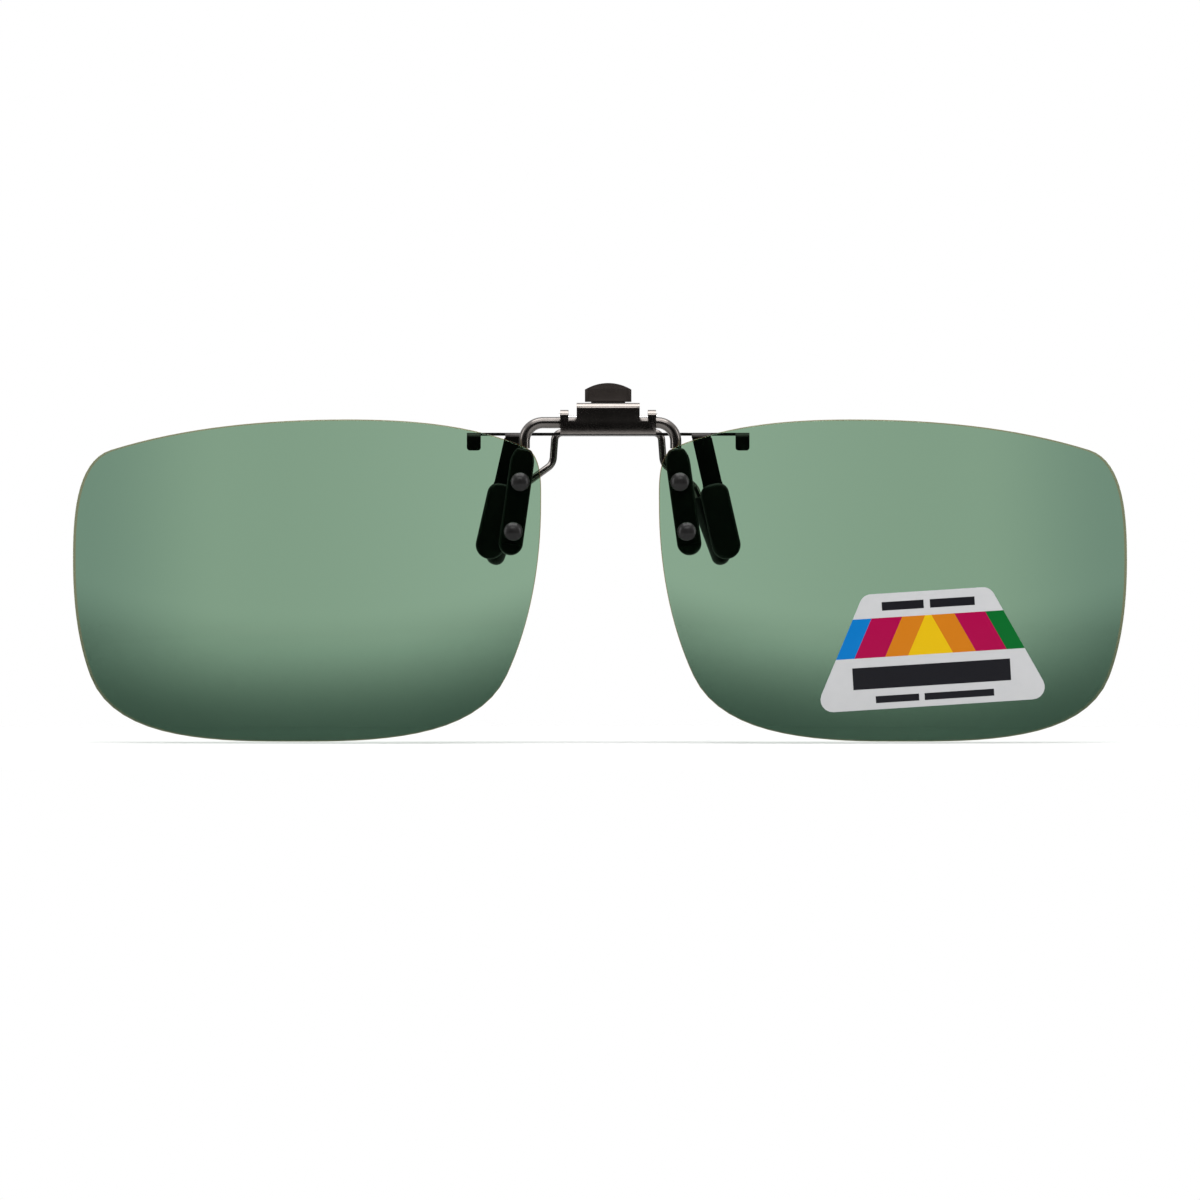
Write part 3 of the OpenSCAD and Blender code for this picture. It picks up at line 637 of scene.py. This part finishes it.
wire_left = neck_point.x + slide
foot_z = neck_point.z - 0.2 * mm
yoke = bent_wire(
    "yoke_wire", yoke_d,
    [
        Vector((-wire_left - slide, shaft_y, foot_z)), Vector((-wire_left - slide, shaft_y, shaft_z)),
        Vector((-flat_reach - 0.1 * mm, shaft_y, shaft_z)), Vector((-flat_reach, shaft_y, shaft_z)),
        Vector((flat_reach, shaft_y, shaft_z)), Vector((flat_reach + 0.1 * mm, shaft_y, shaft_z)),
        Vector((wire_left - slide, shaft_y, shaft_z)), Vector((wire_left - slide, shaft_y, foot_z)),
    ],
    [0, yoke_bend_r, 0, 0, 0, 0, yoke_bend_r, 0],
)
bpy.ops.object.mode_set(mode="OBJECT")
for vertex in yoke.data.vertices:
    if abs(vertex.co.x) < flat_reach + 0.01 * mm:
        vertex.co.y = shaft_y + min(max(vertex.co.y - shaft_y, -flat_half), flat_half)
        vertex.co.z = shaft_z + min(max(vertex.co.z - shaft_z, -flat_half), flat_half)
paddle_top = cover_neck - collar_l
paddle = moulded_strip("paddle", paddle_w, paddle_t, paddle_top - cover_foot + paddle_w / 2, 1.0 * mm)
roll_rims(0.12 * mm, 2)
settle(
    paddle,
    on_seat(seat_side, -seat_out, seat_up) @ Matrix.Translation((0, -cover_mid, paddle_top)),
)
other_paddle = twin(paddle, "other_paddle", -slide)
work_on(yoke)
paddle.select_set(True)
other_paddle.select_set(True)
bpy.ops.object.join()
settle(yoke, Matrix())
fit(yoke, drawn_wire, "wire_steel", "lens_carrier", "lens_yoke")

# ------------------------------------------------------------------ paddle covers
# A moulded black cover over each paddle, behind its lens. Its shoulders close round
# the end of the yoke's wire.
shoulder_z = cover_neck - collar_l

cover = moulded_strip("moulded_cover_left", cover_w, cover_t, shoulder_z - cover_foot + cover_w / 2, 0)
for width, rise in ((0.98, 0.6), (0.92, 0.5), (0.80, 0.45), (0.62, 0.57)):
    pick("faces", lambda f: f.normal.z > 0.7)
    bpy.ops.mesh.extrude_region_move(TRANSFORM_OT_translate={"value": (0, 0, rise * mm)})
    top = [v.co.x for f in bmesh.from_edit_mesh(cover.data).faces if f.select for v in f.verts]
    bpy.ops.transform.resize(value=(width * cover_w / (max(top) - min(top)), 1, 1), center_override=(0, 0, 0))
roll_rims(0.38 * mm, 4, lambda e: abs(middle_of(e).x) > 1e-6 or abs(middle_of(e).y) > cover_t / 2 - 1e-6)
settle(
    cover,
    on_seat(seat_side, -seat_out, seat_up) @ Matrix.Translation((0, -cover_mid, shoulder_z)),
    50,
)
cover_plastic = moulded("cover_plastic", (0.0040, 0.0036, 0.0036), 0.36, 2800.0, 0.007 * mm)
for piece, side in ((cover, "left"), (twin(cover, "moulded_cover_right", -slide), "right")):
    fit(piece, cover_plastic, "black_cover", "lens_carrier", "paddle_cover_" + side)

# ------------------------------------------------------------------ lenses
# Two rimless lenses cut from polarised sheet, green-grey, domed like the surface of a ball
# and with a fine polished edge bevel. A painted shadow darkens each towards its lower edge.
outline_nodes = (
    (0.415, 0, 0), (0.919, 0.093, -17), (1, 0.435, -90), (0.962, 0.8, -111),
    (0.521, 1, -180), (0.073, 0.795, -245), (0, 0.264, -270), (0.035, 0.085, -337),
)
outline_pull = 0.33
edge_bevel = 0.11 * mm
bore_in_lens = 1.3 * mm


def lens_outline(steps):
    """Points round the left lens, clockwise from its crest, as X and Z."""
    points = []
    for index, (share_x, share_z, turn) in enumerate(outline_nodes):
        next_x, next_z, next_turn = outline_nodes[(index + 1) % len(outline_nodes)]
        start = Vector((lens_gap / 2 + share_x * lens_w - slide, lens_top - share_z * lens_h))
        end = Vector((lens_gap / 2 + next_x * lens_w - slide, lens_top - next_z * lens_h))
        pull = outline_pull * (end - start).length
        leave = Vector((math.cos(math.radians(turn)), math.sin(math.radians(turn)))) * pull
        arrive = Vector((math.cos(math.radians(next_turn)), math.sin(math.radians(next_turn)))) * pull
        for step in range(steps):
            t = step / steps
            points.append(
                (1 - t) ** 3 * start + 3 * (1 - t) ** 2 * t * (start + leave)
                + 3 * (1 - t) * t * t * (end - arrive) + t ** 3 * end
            )
    return points


def domed_sheet(name, outline, shares, ball_r, thickness):
    """A sheet cut to an outline and domed on a ball round the lens's centre, thickened inwards."""
    work_on(None)
    bpy.ops.mesh.primitive_circle_add(vertices=len(outline), radius=1, fill_type="NOTHING")
    sheet = bpy.context.object
    sheet.name = name
    for vertex, point in zip(sheet.data.vertices, outline):
        vertex.co = (point.x, 0, point.y)
    middle_x = (min(point.x for point in outline) + max(point.x for point in outline)) / 2
    middle_z = (min(point.y for point in outline) + max(point.y for point in outline)) / 2
    bpy.ops.object.mode_set(mode="EDIT")
    bpy.ops.mesh.select_all(action="SELECT")
    reached = 1.0
    for share in shares:
        bpy.ops.mesh.extrude_edges_move()
        shrink = share / reached
        bpy.ops.transform.resize(value=(shrink, 1, shrink), center_override=(middle_x, 0, middle_z))
        reached = share
    bpy.ops.mesh.merge(type="CENTER")
    bpy.ops.object.mode_set(mode="OBJECT")
    for vertex in sheet.data.vertices:
        away = (vertex.co.x - lens_centre.x) ** 2 + (vertex.co.z - lens_centre.z) ** 2
        vertex.co.y = lens_centre.y - math.sqrt(ball_r ** 2 - away)
    if sheet.data.polygons[0].normal.y > 0:
        bpy.ops.object.mode_set(mode="EDIT")
        bpy.ops.mesh.select_all(action="SELECT")
        bpy.ops.mesh.flip_normals()
        bpy.ops.object.mode_set(mode="OBJECT")
    modified(sheet, "SOLIDIFY", thickness=thickness, offset=-1.0, use_even_offset=True)
    return sheet


def second_finish(piece, material, rule):
    """Gives another material to the faces for which rule is true."""
    piece.data.materials.append(material)
    for face in piece.data.polygons:
        if rule(face):
            face.material_index = 1


def tinted_sheet_with_painted_shadow(name, nasal, clear, outer, painted_shadow, side):
    """Tinted sheet, darker towards the temples, with a painted shadow along the lower edge; glossier at a
    slant.
    """
    tint = Finish(name)
    here = tint.place()
    from_nose = side * (tint.axis(here, "X") + slide)
    off_middle = from_nose - (lens_gap / 2 + 0.5 * lens_w)
    z = tint.axis(here, "Z")
    # Painted shadow: below a soft curved line near the lower edge the tint gives way to a darker colour that
    # stands in for the lens's own shadow seen through it.
    haze = tint.noise((30.0, 30.0, 45.0), 2.0)
    level = z - 6.0 * off_middle * off_middle + 1.2 * mm * haze
    through = [tint.node("ShaderNodeBsdfTransparent", {}, {"Color": c}) for c in (nasal, clear, outer, painted_shadow)]
    across = tint.layered(tint.ease(from_nose, 9 * mm, 44 * mm), through[0], through[1])
    across = tint.layered(tint.ease(from_nose, 48 * mm, 68 * mm), across, through[2])
    shade = tint.layered(tint.ease(level, -40 * mm, -22 * mm), through[3], across)
    gloss = tint.node("ShaderNodeBsdfGlossy", {}, {"Color": (0.38, 0.62, 0.46), "Roughness": 0.03})
    grazing = tint.node("ShaderNodeLayerWeight", {}, {"Blend": 0.5}, "Facing")
    return tint.surface(tint.layered(0.025 + 0.9 * grazing ** 5, shade, gloss))


def cut_edge(name):
    """The lens's edge: its polish lets light through, warmed to an orange brown."""
    edge = Finish(name)
    streaks = edge.noise((240.0, 240.0, 240.0), 3.0)
    skin = edge.node(
        "ShaderNodeBsdfPrincipled", {},
        {
            "Base Color": edge.between(streaks, (0.10, 0.055, 0.02), (0.32, 0.18, 0.07)),
            "Roughness": 0.16 + 0.2 * streaks,
            "Normal": edge.relief(streaks, 0.01 * mm, 0.4),
        },
    )
    light = edge.node("ShaderNodeBsdfTransparent", {}, {"Color": (0.80, 0.66, 0.48)})
    return edge.surface(edge.layered(0.55, skin, light))


rivet_places = [seat_point + seat_up * end * rivet_pitch / 2 for end in (1, -1)]
lens_rings = (0.985, 0.94, 0.86, 0.76, 0.64, 0.5, 0.34, 0.17)
lens = domed_sheet("domed_lens_left", lens_outline(16), lens_rings, lens_r, lens_t)
modified(
    lens, "BEVEL", width=edge_bevel, segments=2, limit_method="ANGLE",
    angle_limit=math.radians(50),
)
for place in rivet_places:
    work_on(None)
    bpy.ops.mesh.primitive_cylinder_add(
        vertices=32, radius=bore_in_lens / 2, depth=6 * mm, location=place,
        rotation=seat_out.to_track_quat("Z", "Y").to_euler(),
    )
    drill = bpy.context.object
    modified(lens, "BOOLEAN", operation="DIFFERENCE", object=drill, solver="EXACT")
    bpy.data.objects.remove(drill)
settle(lens, Matrix(), 30)
other_lens = twin(lens, "domed_lens_right", -slide)
lens_edge = cut_edge("lens_edge")
# Nasal, middle and temple tints, then the painted shadow colour of the lower band.
lens_tints_and_painted_shadow = ((0.507, 0.627, 0.529), (0.478, 0.597, 0.499), (0.405, 0.519, 0.443), (0.172, 0.247, 0.200))
for piece, side, sign in ((lens, "left", 1), (other_lens, "right", -1)):
    fit(piece, tinted_sheet_with_painted_shadow("polarised_tint_" + side, *lens_tints_and_painted_shadow, sign),
        "tinted_lens", "lens_carrier", "lens_" + side)
    ball = Vector((sign * (lens_centre.x + slide) - slide, lens_centre.y, lens_centre.z))
    second_finish(piece, lens_edge, lambda f: abs(f.normal.dot((f.center - ball).normalized())) < 0.8)

# ------------------------------------------------------------------ rivets
# Blackened steel rivets. Each goes through lens, cover and paddle, with a domed head in
# front of the lens and a set end behind the cover.
rivet_d = 1.2 * mm
head_d = 2.4 * mm
head_h = 0.55 * mm
end_d = 1.9 * mm
end_h = 0.3 * mm
head_z = lens_t + seat_gap
rivet_base = cover_mid - cover_t / 2 - seat_gap
dome_r = ((head_d / 2) ** 2 + head_h ** 2) / (2 * head_h)

work_on(None)
bpy.ops.mesh.primitive_uv_sphere_add(
    segments=40, ring_count=48, radius=dome_r, location=(0, 0, head_z + head_h - dome_r)
)
rivet = bpy.context.object
rivet.name = "rivet_bench"
bpy.ops.object.transform_apply(location=True, rotation=True, scale=True)
bpy.ops.object.mode_set(mode="EDIT")
bpy.ops.mesh.select_all(action="SELECT")
bpy.ops.mesh.bisect(plane_co=(0, 0, head_z + 0.08 * mm), plane_no=(0, 0, 1), clear_inner=True)
pick("edges", lambda e: e.is_boundary)
bpy.ops.mesh.edge_face_add()
rim_scale = (head_d / 2 - 0.03 * mm) / math.sqrt(dome_r ** 2 - (dome_r - head_h + 0.08 * mm) ** 2)
bpy.ops.mesh.extrude_region_move(TRANSFORM_OT_translate={"value": (0, 0, -0.08 * mm)})
bpy.ops.transform.resize(value=(rim_scale, rim_scale, 1), center_override=(0, 0, 0))
for ratio, fall in (
    (rivet_d / (head_d - 0.06 * mm), 0), (1, head_z - rivet_base), (end_d / rivet_d, 0), (1, end_h)
):
    bpy.ops.mesh.extrude_region_move(TRANSFORM_OT_translate={"value": (0, 0, -fall)})
    bpy.ops.transform.resize(value=(ratio, ratio, 1), center_override=(0, 0, 0))
bpy.ops.mesh.select_all(action="SELECT")
bpy.ops.mesh.remove_doubles(threshold=0.001 * mm)
bpy.ops.object.mode_set(mode="OBJECT")
modified(rivet, "BEVEL", width=0.04 * mm, segments=2, limit_method="ANGLE", angle_limit=math.radians(50))


def burnished(name):
    """Blackened steel heads, rubbed a little paler in patches."""
    black = Finish(name)
    rubbed = black.noise((900.0, 900.0, 900.0), 3.0)
    grain = black.noise((5200.0, 5200.0, 5200.0), 2.0)
    shader = black.node(
        "ShaderNodeBsdfPrincipled", {},
        {
            "Base Color": black.between(rubbed, (0.006, 0.006, 0.006), (0.020, 0.019, 0.019)),
            "Specular IOR Level": 0.15,
            "Roughness": 0.16 + 0.14 * rubbed,
            "Normal": black.relief(grain, 0.004 * mm, 0.5),
        },
    )
    return black.surface(shader)


rivet_black = burnished("burnished_black")
for place, height in zip(rivet_places, ("upper", "lower")):
    work_on(rivet)
    bpy.ops.object.duplicate()
    left = bpy.context.object
    left.name = height + "_rivet_set_left"
    settle(left, Matrix.Translation(place) @ Matrix((seat_side, seat_up, seat_out)).transposed().to_4x4())
    right = twin(left, height + "_rivet_set_right", -slide)
    fit(left, rivet_black, "rivet_black", "lens_carrier", height + "_rivet_left")
    fit(right, rivet_black, "rivet_black", "lens_carrier", height + "_rivet_right")
bpy.data.objects.remove(rivet)

# ------------------------------------------------------------------ lens label
# A printed vinyl sticker on the front of the left lens: a white trapezoid with a band
# of plain colour blocks, and dark bars where such labels carry their lines of type.
label_top_w = 17.6 * mm
label_bottom_w = 29.0 * mm
label_h = 14.8 * mm
label_t = 0.1 * mm
label_corner_r = 1.6 * mm
label_turn = math.radians(3.6)
label_x = 42.4 * mm - slide
label_z = -27.4 * mm


def label_outline(step):
    """The trapezoid with rounded corners, clockwise, with points close enough to follow the dome."""
    r = label_corner_r
    corners = [
        Vector((-label_top_w / 2 + r, label_h / 2 - r)), Vector((label_top_w / 2 - r, label_h / 2 - r)),
        Vector((label_bottom_w / 2 - r, r - label_h / 2)), Vector((-label_bottom_w / 2 + r, r - label_h / 2)),
    ]
    points = []
    for index, corner in enumerate(corners):
        before = (corner - corners[index - 1]).normalized()
        after = (corners[(index + 1) % 4] - corner).normalized()
        start = math.atan2(before.x, -before.y)
        sweep = before.angle(after)
        for part in range(7):
            angle = start - sweep * part / 6
            points.append(corner + r * Vector((math.cos(angle), math.sin(angle))))
    turned = []
    for index, point in enumerate(points):
        following = points[(index + 1) % len(points)]
        pieces = max(1, round((following - point).length / step))
        for part in range(pieces):
            spot = point.lerp(following, part / pieces)
            turned.append(Vector((
                label_x + spot.x * math.cos(label_turn) - spot.y * math.sin(label_turn),
                label_z + spot.x * math.sin(label_turn) + spot.y * math.cos(label_turn),
            )))
    return turned


def printed_vinyl(name):
    """White vinyl printed with slanted colour blocks and with plain bars for type."""
    vinyl = Finish(name)
    local = vinyl.node(
        "ShaderNodeMapping", {"vector_type": "TEXTURE"},
        {"Vector": vinyl.place(), "Location": (label_x, 0.0, label_z), "Rotation": (0.0, -label_turn, 0.0)},
    )
    x = vinyl.axis(local, "X")
    z = vinyl.axis(local, "Z")
    paper = vinyl.noise((700.0, 700.0, 700.0), 3.0)
    white = vinyl.between(paper, (0.51, 0.515, 0.525), (0.55, 0.55, 0.56))
    slant = 0.5
    reach = 11.0 * mm
    last_block = 0.86
    from_middle = abs(x) + slant * z
    blocks = vinyl.node(
        "ShaderNodeValToRGB",
        {"stops": [
            (0.0, (0.68, 0.43, 0.003)), (0.23, (0.55, 0.17, 0.006)), (0.50, (0.35, 0.0, 0.055)),
            (last_block, (0.0, 0.12, 0.018)),
        ]},
        {0: from_middle / reach}, "Color",
    )
    left_end = (x < 0.0) * (from_middle > last_block * reach)
    blocks = vinyl.between(left_end, blocks, (0.0, 0.16, 0.48))
    in_band = (z > -0.05 * label_h) * (z < 0.29 * label_h)
    colours = vinyl.between(in_band, white, blocks)
    type_bars = None
    for centre_x, centre_z, width, height in (
        (-3.2, 5.75, 5.4, 1.1), (3.2, 5.75, 5.8, 1.1),
        (0.0, -3.35, 20.4, 2.8), (-4.6, -6.15, 5.6, 0.9), (3.4, -6.15, 9.0, 0.9),
    ):
        inside = (abs(x - centre_x * mm) < width / 2 * mm) * (abs(z - centre_z * mm) < height / 2 * mm)
        type_bars = inside if type_bars is None else type_bars + inside
    printed = vinyl.between(type_bars, colours, (0.008, 0.008, 0.011))
    shader = vinyl.node(
        "ShaderNodeBsdfPrincipled", {},
        {
            "Base Color": printed,
            "Roughness": 0.34 + 0.1 * paper,
            "Specular IOR Level": 0.12,
            "Normal": vinyl.relief(paper, 0.006 * mm, 0.4),
        },
    )
    return vinyl.surface(shader)


def backing(name):
    """The gummed back of the vinyl, white and blotched where it has wetted the lens."""
    gum = Finish(name)
    wetted = gum.noise((420.0, 420.0, 420.0), 4.0, 0.65)
    shader = gum.node(
        "ShaderNodeBsdfPrincipled", {},
        {
            "Base Color": gum.between(wetted, (0.66, 0.66, 0.65), (0.76, 0.76, 0.75)),
            "Roughness": 0.45 + 0.2 * wetted,
        },
    )
    return gum.surface(shader)


label_rings = (0.97, 0.85, 0.65, 0.45, 0.25)
label_r = lens_r + seat_gap + label_t
label = domed_sheet("printed_label", label_outline(1.2 * mm), label_rings, label_r, label_t)
settle(label, Matrix(), 30)
fit(label, printed_vinyl("printed_vinyl"), "label_vinyl", "lens_carrier", "lens_label")
second_finish(label, backing("gummed_back"), lambda f: f.normal.y > 0.5)

# ------------------------------------------------------------------ floor, light and camera
# A pale floor that fades into a white studio. Softboxes hang overhead and above the
# camera, strips stand at both sides, and the wall behind the camera is dark.
floor_z = lens_top - lens_h - 0.2 * mm
floor_solid = 90 * mm
floor_gone = 220 * mm
camera_back = 1287.5 * mm
view_middle = Vector((-slide, 0, -21.2 * mm))


def paper_floor(name):
    paper = Finish(name)
    here = paper.place()
    far = paper.node("ShaderNodeVectorMath", {"operation": "LENGTH"}, {0: here}, "Value")
    grain = paper.noise((180.0, 180.0, 180.0), 2.0)
    lit = paper.node(
        "ShaderNodeBsdfPrincipled", {},
        {
            "Base Color": paper.between(grain, (0.53, 0.53, 0.53), (0.56, 0.56, 0.56)),
            "Roughness": 0.9,
            "Specular IOR Level": 0.0,
        },
    )
    clear = paper.node("ShaderNodeBsdfTransparent", {}, {"Color": (1.0, 1.0, 1.0)})
    fade = paper.ease(far, floor_solid, floor_gone)
    return paper.surface(paper.layered(fade, lit, clear))


work_on(None)
bpy.ops.mesh.primitive_plane_add(size=12, location=(0, 0, floor_z))
floor = bpy.context.object
floor.name = "paper_floor"
floor.data.materials.append(paper_floor("white_paper"))

world = bpy.data.worlds.new("studio")
bpy.context.scene.world = world
studio = Finish("studio", world)
direction = studio.node("ShaderNodeTexCoord", {}, {}, "Generated")
up = studio.ease(studio.axis(direction, "Z"), -0.25, 0.75)
behind = studio.ease(studio.axis(direction, "Y"), -0.95, -0.35)
room = studio.node(
    "ShaderNodeBackground", {},
    {"Color": (1.0, 1.0, 1.0), "Strength": (0.10 + 1.15 * up) * (0.05 + 0.95 * behind)},
)
backdrop = studio.node("ShaderNodeBackground", {}, {"Color": (1.0, 1.0, 1.0), "Strength": 1.0})
seen = studio.node("ShaderNodeLightPath", {}, {}, "Is Camera Ray")
studio.node("ShaderNodeOutputWorld", {}, {"Surface": studio.layered(seen, room, backdrop)})

for name, size, place, energy in (
    ("overhead_softbox", (0.50, 0.30), (0.0, -0.05, 0.45), 2.6),
    ("front_softbox", (0.45, 0.20), (0.0, -0.45, 0.42), 1.2),
    ("left_strip", (0.10, 0.40), (-0.42, -0.12, 0.06), 0.55),
    ("right_strip", (0.10, 0.40), (0.42, -0.12, 0.06), 0.55),
):
    bpy.ops.object.light_add(type="AREA", location=place)
    light = bpy.context.object
    light.name = name
    light.data.shape = "RECTANGLE"
    light.data.size, light.data.size_y = size
    light.data.energy = energy
    light.visible_camera = False
    light.rotation_euler = (Vector((0, 0, -0.01)) - Vector(place)).to_track_quat("-Z", "Y").to_euler()

bpy.context.scene.view_settings.view_transform = "Standard"
bpy.ops.object.camera_add(location=view_middle - Vector((0, camera_back, 0)), rotation=(math.pi / 2, 0, 0))
camera = bpy.context.object
camera.data.lens = 300
camera.data.sensor_width = 36
camera.data.clip_start = 0.01
camera.data.clip_end = 20
bpy.context.scene.camera = camera
